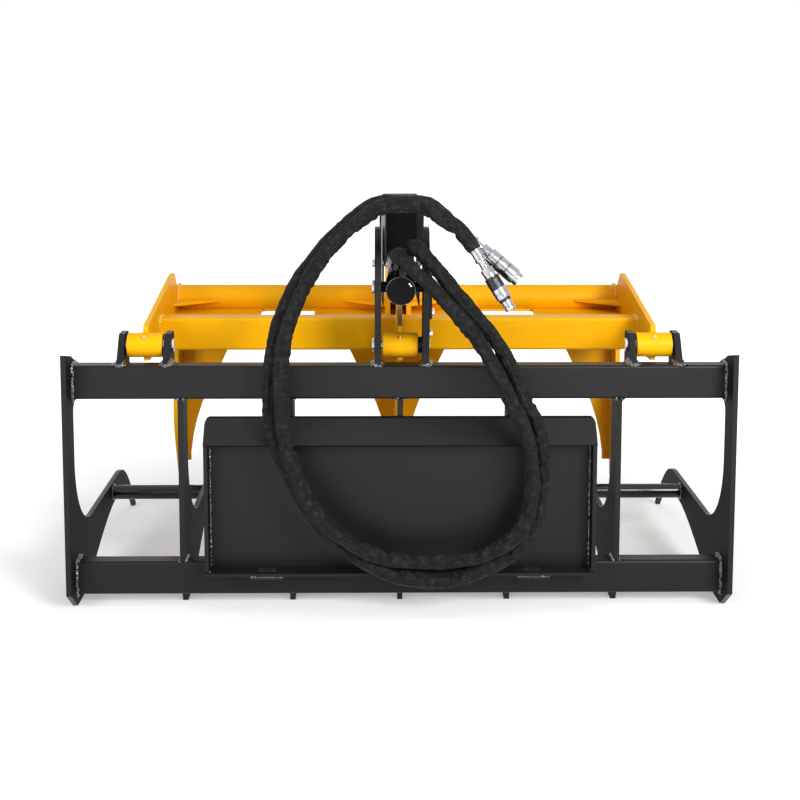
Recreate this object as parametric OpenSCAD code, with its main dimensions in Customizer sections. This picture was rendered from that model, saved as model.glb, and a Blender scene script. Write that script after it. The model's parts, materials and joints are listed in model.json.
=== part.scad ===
// Skeleton grapple for a skid steer loader.
// A black frame of C shaped tine plates, joined by two box tubes, carries a yellow upper jaw.
// One hydraulic cylinder between two mast plates swings the jaw about a row of three hinges.
// X runs across the machine, +Y points to the tine tips and +Z points up.
// The frame stands on Z = 0. Y is counted from the rear edge of the end plates inside the modules,
// and centred module moves it to the middle of the tines.

/* [Lower frame] */
// Width over the outside of the two end plates
frame_w = 1972; // [1800:2200]
// Thickness of the tine plates
plate_t = 16; // [12:20]
// Length of the tines, from the rear edge of the end plates to the tips
tine_len = 1100; // [1050:1250]
// Height of the tines' top edge
tine_top = 212; // [200:230]
// Radius of the throat between upright and tine
throat_r = 235; // [200:260]
// Height of the end plates above the top tube
head_rise = 46; // [30:70]
// Depth of an end plate's upright
upright_d = 87; // [75:100]
// How far the inner plates' throat lies in front of the end plates' throat
inner_shift = 82; // [75:100]

/* [Box tubes] */
// Height of both box tubes
tube_h = 101.6; // [90:110]
// Depth of both box tubes
tube_d = 60; // [50:65]
// Wall of both box tubes
tube_wall = 6.35; // [4:8]
// Distance of the tubes' rear faces from the end plates' rear edge
tube_y = 75; // [70:85]
// Height of the bottom tube's underside above the floor
bottom_z = 37; // [30:45]
// Height of the top tube's underside above the floor
top_z = 635; // [620:650]

/* [Front crossbar] */
// Outside diameter of the round crossbar through the tines
bar_od = 48.3; // [42.4:50]
// Wall of the crossbar
bar_wall = 4; // [3:6]
// Distance of the crossbar from the end plates' rear edge
bar_y = 671; // [640:700]
// Height of the crossbar's axis
bar_z = 175; // [172:178]

/* [Coupler plate] */
// Width of the quick attach plate
coupler_w = 1156; // [1100:1200]
// Thickness of the bent sheet
sheet_t = 9.5; // [8:10]
// Height of the underside of the bottom flange
coupler_z = 118; // [110:125]
// Height of the plate from the bottom flange to the root of the top lip
coupler_h = 457; // [440:465]
// Distance that the free edge of the top lip hangs below its root
lip_drop = 66; // [50:80]
// Thickness of the plates that close the two ends
cheek_t = 12; // [8:14]
// Spacing of the two lock pin slots
slot_spacing = 790; // [700:850]
// Length of a lock pin slot
slot_len = 60; // [50:70]
// Width of a lock pin slot
slot_w = 32; // [28:34]

/* [Hinges] */
// Distance of the hinge line from the end plates' rear edge
hinge_y = 150; // [145:155]
// Height of the hinge line
hinge_z = 785; // [782:790]
// Spacing of the left and right jaw arms
arm_spacing = 1524; // [1480:1560]
// Outside diameter of the hinge tubes
hinge_od = 73; // [66:76]
// Length of each hinge tube
hinge_len = 105; // [100:108]
// Side play at each end of the side hinge tubes
hinge_play = 6; // [4:8]
// Diameter of the hinge pins and of the cylinder's base pin
pin_d = 31.75; // [28:36]
// Thickness of the ears and mast plates
ear_t = 19; // [16:20]
// Wall of the bronze bushes
bush_wall = 5; // [4:6]
// Thickness of the collar between the centre hinge tube and the right mast plate
collar_t = 12; // [8:14]

/* [Upper jaw] */
// Depth of the rectangular cross tube
jaw_tube_d = 76; // [70:80]
// Height of the rectangular cross tube
jaw_tube_h = 102; // [98:106]
// Wall of the rectangular cross tube
jaw_tube_wall = 6; // [4:8]
// Distance of the rectangular tube's rear face from the end plates' rear edge
jaw_tube_y = 362; // [350:375]
// Outside diameter of the round front pipe
pipe_od = 88.9; // [80:92]
// Wall of the round front pipe
pipe_wall = 6; // [4:8]
// Distance of the front pipe's axis from the end plates' rear edge
pipe_y = 814; // [805:825]
// Height of the front pipe's axis
pipe_z = 824; // [818:830]
// Height of the arms' peak above the front pipe's axis
peak_rise = 100; // [90:110]
// Height of the outer tine tips above the floor
tip_z = 183; // [175:195]
// Gap that keeps the short centre tine above the lower tine below it
centre_tine_gap = 42; // [30:80]
// Thickness of the deck plates
deck_t = 8; // [6:10]
// Length of the rounded window in each deck plate
window_len = 182; // [150:220]
// Thickness of the face plates on the tines
face_t = 10; // [8:12]
// Half width of a face plate at its top
face_half_top = 175; // [150:180]
// Half width of a face plate at its bottom
face_half_tip = 33; // [28:40]
// Side of the triangular corner gussets along the front pipe
gusset_w = 144; // [120:160]

/* [Cylinder] */
// Height of the base pin above the hinge line
base_rise = 189; // [185:192]
// Distance of the base pin behind the hinge line
base_back = 90; // [86:92]
// Distance between the cylinder's two pins with the jaw closed
cylinder_len = 642; // [630:650]
// Angle of the cylinder's axis above the horizontal with the jaw closed
cylinder_tilt = 5; // [4:6]
// Outside diameter of the barrel
barrel_od = 76; // [70:78]
// Bore of the barrel
bore_d = 63.5; // [60:64]
// Distance from the base pin to the end of the barrel
barrel_end = 400; // [380:410]
// Diameter of the solid base cap
cap_od = 86; // [82:86]
// Diameter of the piston rod
rod_d = 38; // [32:40]
// Diameter of the rod pin
rod_pin_d = 25.4; // [22:28]
// Play round the rod pin, which lets the jaw follow its arc
rod_play = 6.3; // [6.3:8]
// Width of the rod eye
eye_w = 50; // [44:50]
// Outside diameter of the rod eye
eye_od = 74; // [70:78]

/* [Guard] */
// Width of the inverted channel over the cylinder
guard_w = 112; // [110:112]
// Thickness of the channel's sheet
guard_t = 4; // [3:5]
// Height of the channel's rear top edge
guard_z = 1200; // [1195:1210]
// Length of the channel
guard_len = 250; // [240:260]
// Distance of the rod seal's shield from the base pin, along the cylinder
shield_s = 375; // [365:378]
// Height of the shield above the cylinder's axis
shield_h = 160; // [150:165]
// Width of the shield
shield_w = 124; // [120:126]
// Turn of the channel in its bolts, in degrees
guard_twist = 2.5; // [0:2.5]

/* [Hoses] */
// Diameter of the textile sleeves over the hoses
sleeve_d = 42; // [38:42]
// Diameter of the larger quick coupler
coupler_big_d = 48; // [46:50]
// Diameter of the smaller quick coupler
coupler_small_d = 44; // [42:46]
// Length of the plug coupling from the end of its sleeve
plug_len = 200; // [196:205]
// Length of the socket coupling from the end of its sleeve
socket_len = 205; // [200:210]
// Diameter of the plug's nose
plug_d = 31.4; // [31:32]
// Bore of the socket
socket_d = 31.6; // [31.2:32.2]

/* [Fits] */
// Radial clearance of a pin or rod in its bore
run_fit = 0.05; // [0.02:0.01:0.1]
// Gap left at curved welded joints
weld_gap = 0.3; // [0.2:0.1:0.5]

/* [Hidden] */
$fn = 64;

black = "#3a3a3c";
yellow = "#f2a812";
steel = "#b8bcc0";
sleeve = "#222224";
bronze = "#a8793c";

tine_count = 7;
tine_pitch = (frame_w - plate_t) / (tine_count - 1);
inside_w = frame_w - 2 * plate_t;
tube_front = tube_y + tube_d;
bottom_top = bottom_z + tube_h;
top_top = top_z + tube_h;
arm_x = arm_spacing / 2;
arm_inside = arm_x - plate_t / 2;
pin_r = pin_d / 2;
hinge_r = hinge_od / 2;
pipe_r = pipe_od / 2;
jaw_tube_z = pipe_z - 97;
jaw_tube_top = jaw_tube_z + jaw_tube_h;
jaw_tube_front = jaw_tube_y + jaw_tube_d;
deck_z = pipe_z - 42;
face_y = pipe_y + pipe_r + weld_gap;
base_y = hinge_y - base_back;
base_z = hinge_z + base_rise;
rod_y = base_y + cylinder_len * cos(cylinder_tilt);
rod_z = base_z + cylinder_len * sin(cylinder_tilt);
mast_in_left = -(hinge_len / 2 + 4.5);
mast_in_right = hinge_len / 2 + collar_t + 2;
mast_mid = (mast_in_left + mast_in_right) / 2;
lug_in = eye_w / 2 + 1.5;
lug_out = lug_in + plate_t;
peg_r = 7;

// Point at share t of a cubic curve with four control points.
function cubic(a, b, c, d, t) =
    pow(1 - t, 3) * a + 3 * pow(1 - t, 2) * t * b + 3 * (1 - t) * t * t * c + t * t * t * d;
function curve(a, b, c, d, steps) = [for (i = [0:steps]) cubic(a, b, c, d, i / steps)];

// Moves a piece from the rear edge frame to the middle of the tines.
module centred() {
    translate([0, -tine_len / 2, 0]) children();
}

// A flat plate across X, from an outline drawn in Y and Z.
module plate(x, t) {
    centred() translate([x - t / 2, 0, 0]) rotate([90, 0, 90]) linear_extrude(t) children();
}

// A round bar across X between x0 and x1.
module cross_rod(x0, x1, y, z, d) {
    translate([x0, y, z]) rotate([0, 90, 0]) cylinder(d = d, h = x1 - x0);
}

// A box with round edges, drawn in its corner frame.
module round_box_2d(w, h, r) {
    translate([r, 0]) square([w - 2 * r, h]);
    translate([0, r]) square([w, h - 2 * r]);
    for (u = [r, w - r], v = [r, h - r]) translate([u, v]) circle(r);
}

module box_tube_2d(w, h, wall) {
    difference() {
        round_box_2d(w, h, 1.5 * wall);
        translate([wall, wall]) round_box_2d(w - 2 * wall, h - 2 * wall, 0.5 * wall);
    }
}

// Lower frame

// Underside of a tine: an arch from the heel to the tip, so that heel and tip rest on the floor.
function belly(heel_end) = concat(
    curve([tine_len - 22, 0], [tine_len - 100, 90], [bar_y + 190, 138], [bar_y + 60, 138], 7),
    curve([bar_y + 50, 138], [bar_y - 110, 138], [heel_end + 170, 50], [heel_end, 0], 7));
function nose() = curve([tine_len - 310, tine_top], [tine_len - 200, tine_top],
    [tine_len - 115, 0.6 * tine_top], [tine_len, 4], 8);

// Space in the C of a plate, open to the front, from the upright at y0.
module throat_2d(y0, roof_z, roof_r) {
    knee_y = y0 + throat_r;
    knee_z = tine_top + throat_r;
    translate([knee_y, knee_z]) circle(throat_r);
    translate([knee_y, tine_top]) square([tine_len, roof_z - tine_top]);
    translate([y0, knee_z]) square([tine_len, roof_z - roof_r - knee_z]);
    translate([y0 + roof_r, roof_z - roof_r]) circle(roof_r);
    translate([y0 + roof_r, roof_z - 2 * roof_r]) square([tine_len, 2 * roof_r]);
}

module end_plate_2d() {
    head_d = tube_front + 11;
    head_z = top_top + head_rise;
    difference() {
        polygon(concat([[85, 0], [0, 60], [0, head_z], [0.53 * head_d, head_z - 17],
            [head_d, head_z - 48], [head_d, top_z - 12], [upright_d + throat_r, top_z - 12]],
            [[upright_d + throat_r, tine_top]], nose(), belly(205)));
        throat_2d(upright_d, top_z - 12, 32);
    }
}

module inner_plate_2d() {
    front = upright_d + inner_shift;
    difference() {
        polygon(concat([[tube_y + 52, 0], [tube_y + 32, bottom_z], [tube_y, bottom_z + 1],
            [tube_y, top_z + 1], [tube_front, top_top - 18], [front, top_z + 36],
            [front, tine_top + throat_r], [front + throat_r, tine_top + throat_r],
            [front + throat_r, tine_top]], nose(), belly(235)));
        throat_2d(front, top_z + 60, 20);
        translate([tube_y, bottom_z]) square([tube_d, tube_h]);
        translate([tube_y, top_z]) square([tube_d, tube_h]);
        translate([bar_y, bar_z]) circle(bar_od / 2 + weld_gap);
    }
}

module tine(i) {
    x = -frame_w / 2 + plate_t / 2 + (i - 1) * tine_pitch;
    color(black) plate(x, plate_t) {
        if (i == 1 || i == tine_count) end_plate_2d();
        else inner_plate_2d();
    }
}

module frame_tube(z) {
    color(black) plate(0, inside_w) translate([tube_y, z]) box_tube_2d(tube_d, tube_h, tube_wall);
}

module front_crossbar() {
    color(black) plate(0, inside_w) translate([bar_y, bar_z]) difference() {
        circle(d = bar_od);
        circle(d = bar_od - 2 * bar_wall);
    }
}

// Coupler plate

flange_z = coupler_z + sheet_t;
corner_r = 20;
lip_root = [tube_y - sheet_t, coupler_z + coupler_h];
lip_edge = [7.5, lip_root[1] - lip_drop];
lip_dir = (lip_root - lip_edge) / norm(lip_root - lip_edge);
lip_out = sheet_t * [-lip_dir[1], lip_dir[0]];
slot_y = tube_y / 2 - 2;

module coupler_2d() {
    polygon([[tube_y, coupler_z], [tube_y, lip_root[1] + 6], lip_root + [sheet_t / 2, 11],
        lip_root + lip_out, lip_edge + lip_out, lip_edge, lip_root, [tube_y - sheet_t, flange_z],
        [0, flange_z], [0, coupler_z]]);
}

module slot_cut(x, depth_z, h) {
    translate([x, slot_y, depth_z]) {
        for (s = [-1, 1]) translate([s * (slot_len - slot_w) / 2, 0, 0]) cylinder(d = slot_w, h = h);
        translate([-(slot_len - slot_w) / 2, -slot_w / 2, 0]) cube([slot_len - slot_w, slot_w, h]);
    }
}

// Rounds the two top corners of the bent sheet and its cheeks.
module top_corner_cut() {
    top = coupler_z + coupler_h + 12;
    for (s = [-1, 1]) translate([s * (coupler_w / 2 - corner_r), -40, top - corner_r])
        rotate([-90, 0, 0]) linear_extrude(tube_y + 60) difference() {
            translate([s > 0 ? 0 : -corner_r - 1, -corner_r - 1]) square(corner_r + 1);
            circle(corner_r);
        }
}

module coupler_plate() {
    color(black) difference() {
        plate(0, coupler_w) coupler_2d();
        centred() top_corner_cut();
        centred() for (s = [-1, 1]) slot_cut(s * slot_spacing / 2, coupler_z - 1, sheet_t + 2);
    }
}

// End cheeks close the pocket between the bent sheet's flange and lip.
module coupler_cheek(s) {
    color(black) difference() {
        plate(s * (coupler_w - cheek_t) / 2, cheek_t)
            polygon([[tube_y - sheet_t, flange_z], [7.5, flange_z], lip_edge, lip_root]);
        centred() top_corner_cut();
    }
}

// Doubler tabs under the flange stiffen the two lock pin slots.
module lock_pin_tabs() {
    tab_t = 10;
    color(black) centred() for (s = [-1, 1]) difference() {
        translate([s * slot_spacing / 2 - 48, 4, coupler_z - tab_t]) cube([96, tube_y - 5, tab_t]);
        slot_cut(s * slot_spacing / 2, coupler_z - tab_t - 1, tab_t + 2);
    }
}

// Ears, mast and pins

// Foot of an ear: it stands on the top tube and hooks over its front face.
module ear_foot_2d(front) {
    difference() {
        translate([tube_y, top_top - 46]) square([front - tube_y, 46]);
        translate([tube_y - 1, top_top - 47]) square([tube_d + 1, 47]);
    }
}

module ear(x) {
    front = hinge_y + 50;
    color(black) plate(x, ear_t) difference() {
        union() {
            ear_foot_2d(front);
            polygon([[tube_y, top_top], [front, top_top], [front, hinge_z + 27],
                [front - 10, hinge_z + 37], [hinge_y - 14, hinge_z + 37], [hinge_y - 24, hinge_z + 27]]);
        }
        translate([hinge_y, hinge_z]) circle(pin_r + run_fit);
    }
}

bolt_y = base_y + 55;
bolt_z = base_z + 63;
doubler_z = hinge_z + 98;
doubler_bolt_z = hinge_z + 111;
low_bolt_z = hinge_z + 48;

module mast_2d() {
    front = hinge_y + 50;
    difference() {
        union() {
            ear_foot_2d(front);
            polygon(concat([[tube_y, top_top], [front, top_top], [front, bolt_z + 40]],
                curve([front, bolt_z + 40], [front, bolt_z + 112], [base_y + 80, bolt_z + 118],
                    [base_y + 40, bolt_z + 92], 6),
                [[base_y - 42, base_z + 56], [base_y - 42, base_z - 44], [tube_y, hinge_z + 10]]));
        }
        translate([hinge_y, hinge_z]) circle(pin_r + run_fit);
        translate([base_y, base_z]) circle(pin_r + run_fit);
        translate([bolt_y, bolt_z]) circle(peg_r + weld_gap);
    }
}

module mast(s) {
    x = s < 0 ? mast_in_left - ear_t / 2 : mast_in_right + ear_t / 2;
    color(black) plate(x, ear_t) difference() {
        mast_2d();
        if (s > 0) for (z = [doubler_bolt_z, low_bolt_z]) translate([base_y + 25, z]) circle(peg_r);
    }
}

// Thin doubler on the outside of the right mast plate, round the base pin.
module mast_doubler() {
    t = 6;
    color(black) plate(mast_in_right + ear_t + t / 2, t) difference() {
        polygon([[base_y - 30, doubler_z], [base_y + 60, doubler_z], [base_y + 60, base_z + 40],
            [base_y + 30, base_z + 52], [base_y - 30, base_z + 40]]);
        translate([base_y, base_z]) circle(pin_r + run_fit);
        translate([base_y + 25, doubler_bolt_z]) circle(peg_r);
    }
}

// A hexagon bolt across X. Its head's inner face is at x and the shank runs to the side s.
module hex_bolt(x, y, z, s, len) {
    head_x = s > 0 ? x - 9 : x;
    translate([head_x, y, z]) rotate([0, 90, 0]) cylinder(d = 22, h = 9, $fn = 6);
    if (s > 0) cross_rod(x, x + len, y, z, 2 * peg_r - 2 * run_fit);
    else cross_rod(x - len, x, y, z, 2 * peg_r - 2 * run_fit);
}

module mast_bolts() {
    outer = mast_in_right + ear_t;
    color(steel) centred() {
        hex_bolt(outer + 6, base_y + 25, doubler_bolt_z, -1, 6 + ear_t - 2);
        hex_bolt(outer, base_y + 25, low_bolt_z, -1, ear_t - 2);
    }
}

guard_side = guard_w / 2;
guard_slope = cylinder_tilt + 2.4;
guard_y = 10;

guard_deep = guard_z - base_z + 110;
guard_bend = 9;

// Side of the guard, drawn level in its own frame with the top edge at 0.
module guard_side_2d() {
    drop = guard_z - base_z;
    polygon([[0, 0], [guard_len, 0], [guard_len, -drop - 92], [guard_len - 125, -drop - 92],
        [guard_len - 128, -drop + 30], [0, -drop + 70]]);
}

// Outline of the channel's cross section with rounded top corners.
module channel_2d(w, r) {
    translate([-w / 2, -guard_deep]) square([w, guard_deep - r]);
    translate([-w / 2 + r, -guard_deep]) square([w - 2 * r, guard_deep]);
    for (s = [-1, 1]) translate([s * (w / 2 - r), -r]) circle(r);
}

// The bent channel: its cross section along its length, cut to the shape of the side.
module guard_channel() {
    intersection() {
        rotate([90, 0, 90]) translate([0, 0, -guard_w]) linear_extrude(2 * guard_w) guard_side_2d();
        translate([0, guard_len + 1, 0]) rotate([90, 0, 0]) linear_extrude(guard_len + 2)
            difference() {
            channel_2d(guard_w, guard_bend);
            translate([0, -guard_t]) channel_2d(guard_w - 2 * guard_t, guard_bend - guard_t);
        }
    }
}

module cylinder_guard() {
    turn_y = guard_y + guard_len / 2;
    color(black) centred() difference() {
        translate([mast_mid, turn_y, 0]) rotate([0, 0, guard_twist])
            translate([0, guard_y - turn_y, guard_z]) rotate([guard_slope, 0, 0]) guard_channel();
        cross_rod(-guard_w, guard_w, bolt_y, bolt_z, 2 * peg_r + 2 * weld_gap);
    }
}

// Two bolts join the mast plates to the guard's sides. Each ends in a thin nut inside the guard.
module guard_bolts() {
    nut_t = 6;
    nut_side = guard_side - guard_t - 1.5;
    color(steel) centred() for (s = [-1, 1]) {
        face = s < 0 ? mast_in_left - ear_t : mast_in_right + ear_t;
        nut_x = mast_mid + s * (nut_side - nut_t / 2);
        hex_bolt(face, bolt_y, bolt_z, -s, abs(face - nut_x) + nut_t / 2);
        translate([nut_x - nut_t / 2, bolt_y, bolt_z]) rotate([0, 90, 0])
            cylinder(d = 21, h = nut_t, $fn = 6);
    }
}

// A pin with a round head at x0 and a retaining ring at x1.
module headed_pin(x0, x1, y, z, head) {
    cross_rod(x0, x1, y, z, pin_d);
    if (head < 0) cross_rod(x0 - 8, x0, y, z, pin_d + 8);
    if (head > 0) cross_rod(x1, x1 + 8, y, z, pin_d + 8);
}

ear_in = hinge_len / 2 + hinge_play;

module hinge_pin_side(s) {
    color(steel) centred() headed_pin(s * arm_x - ear_in - ear_t, s * arm_x + ear_in + ear_t,
        hinge_y, hinge_z, -s);
}

module mast_pin(y, z, extra) {
    color(steel) centred() headed_pin(mast_in_left - ear_t, mast_in_right + ear_t + extra, y, z, -1);
}

// Hoses and quick couplers

// Routes of the two sleeved hoses, from their elbows on the cylinder's base to the quick couplers.
route_a = [[-10, 15, 1075], [0, -25, 1073], [30, -60, 1045], [85, -75, 995], [145, -80, 930],
    [215, -80, 845], [275, -75, 745], [315, -70, 660], [345, -70, 605], [370, -65, 530],
    [380, -65, 430], [375, -60, 355], [350, -60, 280], [298, -54, 228], [225, -44, 192],
    [115, -35, 175], [-5, -40, 180], [-90, -59, 209], [-161, -70, 254], [-222, -70, 303],
    [-270, -70, 369], [-301, -70, 443], [-328, -70, 522], [-340, -70, 610], [-344, -65, 695],
    [-340, -60, 795], [-316, -60, 900], [-273, -50, 995], [-216, -40, 1085], [-146, -32, 1158],
    [-65, -28, 1213], [5, -28, 1228], [70, -32, 1217], [120, -42, 1185], [160, -52, 1160],
    [187, -60, 1130], [206, -65, 1100]];
route_b = [[35, 15, 1098], [46, -22, 1098], [72, -45, 1075], [115, -50, 1025], [170, -55, 955],
    [245, -55, 870], [310, -50, 770], [360, -45, 655], [395, -40, 590], [410, -35, 505],
    [413, -30, 430], [404, -30, 350], [385, -30, 275], [340, -30, 210], [275, -30, 165],
    [185, -30, 125], [100, -30, 115], [10, -30, 125], [-70, -30, 155], [-150, -30, 205],
    [-214, -30, 262], [-270, -30, 337], [-316, -30, 417], [-353, -30, 505], [-375, -30, 595],
    [-378, -25, 685], [-368, -20, 800], [-345, -10, 900], [-300, -5, 995], [-240, 0, 1080],
    [-160, 8, 1160], [-75, 16, 1221], [5, 18, 1226], [80, 14, 1220], [137, 3, 1177],
    [183, -7, 1138]];

function unit(v) = v / norm(v);
function flow(p, i) = unit(p[min(i + 1, len(p) - 1)] - p[max(i - 1, 0)]);
// Frame carried along the route, so that the sweep doesn't twist.
function sides(p, i, s) = let (f = flow(p, i), n = unit(s - (s * f) * f)) n;
function carried(p, i) = i == 0 ? unit(cross(flow(p, 0), [0, 0, 1])) : sides(p, i, carried(p, i - 1));
function ring(p, i, r, n) = let (f = flow(p, i), u = carried(p, i), v = cross(f, u))
    [for (k = [0:n - 1]) p[i] + r * (cos(360 * k / n) * u + sin(360 * k / n) * v)];

module swept_tube(p, d) {
    n = 10;
    pts = [for (i = [0:len(p) - 1]) each ring(p, i, d / 2, n)];
    last = (len(p) - 1) * n;
    walls = [for (i = [0:len(p) - 2], k = [0:n - 1])
        [i * n + k, (i + 1) * n + k, (i + 1) * n + (k + 1) % n, i * n + (k + 1) % n]];
    caps = [[for (k = [0:n - 1]) k], [for (k = [n - 1:-1:0]) last + k]];
    polyhedron(points = pts, faces = concat(walls, caps), convexity = 8);
}

module hose(route) {
    color(sleeve) centred() swept_tube(route, sleeve_d);
}

// Places a piece with its +Z along the direction d, at the point p.
module along(p, d) {
    translate(p) rotate([0, acos(d[2] / norm(d)), atan2(d[1], d[0])]) children();
}

// An elbow over a port of the base cap: a stem, a round body and a ferrule that meets the hose.
elbow_reach = 21;
function elbow_bend(route) = route[0] - elbow_reach * flow(route, 0);

module hose_elbow(route) {
    bend = elbow_bend(route);
    foot_z = base_z + port_back * sin(cylinder_tilt) + port_h * cos(cylinder_tilt) + 1.2;
    color(steel) centred() {
        translate([bend[0], bend[1], foot_z]) cylinder(d = 21, h = bend[2] - foot_z);
        translate([bend[0], bend[1], foot_z + 10]) cylinder(d = 27, h = 12, $fn = 6);
        translate(bend) sphere(d = 28);
        along(route[0], -flow(route, 0)) cylinder(d = 22, h = elbow_reach);
        along(route[0], -flow(route, 0)) cylinder(d = 32, h = 9);
    }
}

// Quick coupler: hose ferrule, hexagon, body and locking sleeve, all round its axis.
module quick_coupler(route, d, reach, male) {
    last = len(route) - 1;
    tip = route[last];
    dir = flow(route, last);
    neck = 80;
    step = male ? 38 : 15;
    color(steel) centred() along(tip, dir) difference() {
        union() {
            cylinder(d = 33, h = 40);
            cylinder(d = 24, h = 66);
            translate([0, 0, 64]) cylinder(d = 38, h = 18, $fn = 6);
            translate([0, 0, neck]) cylinder(d = d - 8, h = reach - neck - (male ? 30 : 0));
            translate([0, 0, neck + 12]) cylinder(d = d, h = reach - neck - 12 - step);
            if (male) translate([0, 0, neck]) cylinder(d = plug_d, h = reach - neck);
        }
        if (!male) translate([0, 0, reach - 20]) cylinder(d = socket_d, h = 21);
    }
}

// Upper jaw

arm_top = hinge_z + 58;
peak_z = pipe_z + peak_rise;
face_foot_z = tip_z + 52;
centre_foot_z = tine_top + centre_tine_gap;

// Outline of an arm with its tine: a long top edge, a peak and a curved claw.
module jaw_arm_2d() {
    polygon(concat(
        [[hinge_y, hinge_z - 48], [hinge_y, arm_top], [pipe_y - 139, peak_z], [pipe_y - 106, peak_z],
            [pipe_y - 54, pipe_z + 52], [face_y - 8, pipe_z + 30], [face_y, pipe_z + 18],
            [face_y, face_foot_z], [pipe_y + 30, tip_z], [pipe_y + 16, tip_z]],
        curve([pipe_y + 16, tip_z], [pipe_y - 24, tip_z + 107], [pipe_y - 86, tip_z + 170],
            [pipe_y - 84, tip_z + 270], 6),
        curve([pipe_y - 82, tip_z + 290], [pipe_y - 78, tip_z + 380], [pipe_y - 30, tip_z + 440],
            [pipe_y - 60, tip_z + 500], 6),
        curve([pipe_y - 70, tip_z + 510], [pipe_y - 100, tip_z + 536], [pipe_y - 170, jaw_tube_z - 12],
            [pipe_y - 260, jaw_tube_z - 8], 5),
        [[jaw_tube_front, jaw_tube_z], [jaw_tube_y, jaw_tube_z]]));
}

module hinge_cope_2d() {
    translate([hinge_y, hinge_z]) circle(hinge_r + weld_gap);
}

module jaw_arm_side(s) {
    color(yellow) plate(s * arm_x, plate_t) difference() {
        jaw_arm_2d();
        hinge_cope_2d();
    }
}

module jaw_arm_centre() {
    color(yellow) plate(0, plate_t) difference() {
        jaw_arm_2d();
        hinge_cope_2d();
        translate([jaw_tube_y, jaw_tube_z]) square([jaw_tube_d, jaw_tube_h]);
        translate([pipe_y, pipe_z]) circle(pipe_r + weld_gap);
        translate([pipe_y, pipe_z - 30]) square([pipe_r + 20, peak_rise]);
        translate([pipe_y - 200, 0]) square([400, centre_foot_z]);
    }
}

module hinge_tube(x) {
    color(yellow) plate(x, hinge_len) translate([hinge_y, hinge_z]) difference() {
        circle(hinge_r);
        circle(pin_r + run_fit + bush_wall);
    }
}

module hinge_bushes() {
    len_b = 0.38 * hinge_len;
    color(bronze) for (x = [-arm_x, 0, arm_x], s = [-1, 1])
        plate(x + s * (hinge_len - len_b) / 2, len_b) translate([hinge_y, hinge_z]) difference() {
        circle(pin_r + run_fit + bush_wall - 0.01);
        circle(pin_r + run_fit);
    }
}

// Collar that takes up the space between the centre hinge tube and the right mast plate.
module hinge_collar() {
    color(black) plate(hinge_len / 2 + 1 + collar_t / 2, collar_t) translate([hinge_y, hinge_z])
        difference() {
        circle(pin_r + 9);
        circle(pin_r + run_fit);
    }
}

module jaw_rear_tube() {
    color(yellow) plate(0, 2 * arm_inside) translate([jaw_tube_y, jaw_tube_z])
        box_tube_2d(jaw_tube_d, jaw_tube_h, jaw_tube_wall);
}

module jaw_front_pipe() {
    color(yellow) plate(0, 2 * arm_inside) translate([pipe_y, pipe_z]) difference() {
        circle(pipe_r);
        circle(pipe_r - pipe_wall);
    }
}

// Deck plate between the centre arm and a side arm, with one rounded window.
module deck(s) {
    w = arm_inside - plate_t / 2;
    window_y = jaw_tube_front + 40;
    window_rim = 39;
    window_d = pipe_y - window_rim - window_y;
    color(yellow) centred() difference() {
        translate([s > 0 ? plate_t / 2 : -plate_t / 2 - w, jaw_tube_front, deck_z])
            cube([w, pipe_y - jaw_tube_front, deck_t]);
        cross_rod(-arm_x, arm_x, pipe_y, pipe_z, pipe_od + 2 * weld_gap);
        translate([s * w / 2 - window_len / 2, window_y, deck_z - 1]) linear_extrude(deck_t + 2)
            round_box_2d(window_len, window_d, 14);
    }
}

// Flat triangles that brace the front pipe against the arms and the rod lugs, above the deck.
module corner_gussets() {
    t = 10;
    gusset_rise = -8;
    color(yellow) centred() difference() {
        for (c = [[-arm_inside, 1], [-lug_out, -1], [lug_out, 1], [arm_inside, -1]])
            translate([c[0], pipe_y, pipe_z + gusset_rise]) linear_extrude(t)
            polygon([[0, 0], [c[1] * gusset_w, 0], [c[1] * gusset_w, -48], [0, -145]]);
        cross_rod(-arm_x, arm_x, pipe_y, pipe_z, pipe_od + 2 * weld_gap);
    }
}

// Flared edge of a face plate, in X and Z, from its foot up to the front pipe.
face_top = pipe_z - 4;
function face_edge(foot_z) = concat([[face_half_tip, foot_z]],
    curve([face_half_tip, foot_z + 30], [face_half_tip + 12, tip_z + 190],
        [face_half_tip + 40, tip_z + 270], [face_half_tip + 96, tip_z + 370], 5),
    [[face_half_top, pipe_z - 175], [face_half_top, face_top]]);
function mirrored(p) = [for (i = [len(p) - 1:-1:0]) [-p[i][0], p[i][1]]];

module face_sheet(x) {
    color(yellow) centred() translate([x, face_y + face_t, 0]) rotate([90, 0, 0])
        linear_extrude(face_t) children();
}

// The end tines' face plates flare to one side only.
module face_plate_side(s) {
    face_sheet(s * arm_x) mirror([s > 0 ? 1 : 0, 0])
        polygon(concat(face_edge(face_foot_z),
            [[-plate_t / 2, face_top], [-plate_t / 2, face_foot_z]]));
}

module face_plate_centre() {
    face_sheet(0) polygon(concat(face_edge(centre_foot_z), mirrored(face_edge(centre_foot_z))));
}

// Lugs on the deck and the front pipe that carry the cylinder's rod pin.
module rod_lug(s) {
    eye_r = 38;
    deck_top = deck_z + deck_t;
    color(yellow) plate(s * (lug_in + plate_t / 2), plate_t) difference() {
        polygon(concat([[pipe_y, deck_top], [pipe_y + 6, pipe_z + pipe_r + 20]],
            [for (a = [20:10:160]) [rod_y, rod_z] + eye_r * [cos(a), sin(a)]],
            [[rod_y - 140, deck_top]]));
        translate([rod_y, rod_z]) circle(rod_pin_d / 2 + run_fit);
        translate([pipe_y, pipe_z]) circle(pipe_r + weld_gap);
    }
}

module rod_pin() {
    color(steel) centred() {
        cross_rod(-lug_out, lug_out + 8, rod_y, rod_z, rod_pin_d);
        cross_rod(-lug_out - 8, -lug_out, rod_y, rod_z, rod_pin_d + 10);
    }
}

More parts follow.
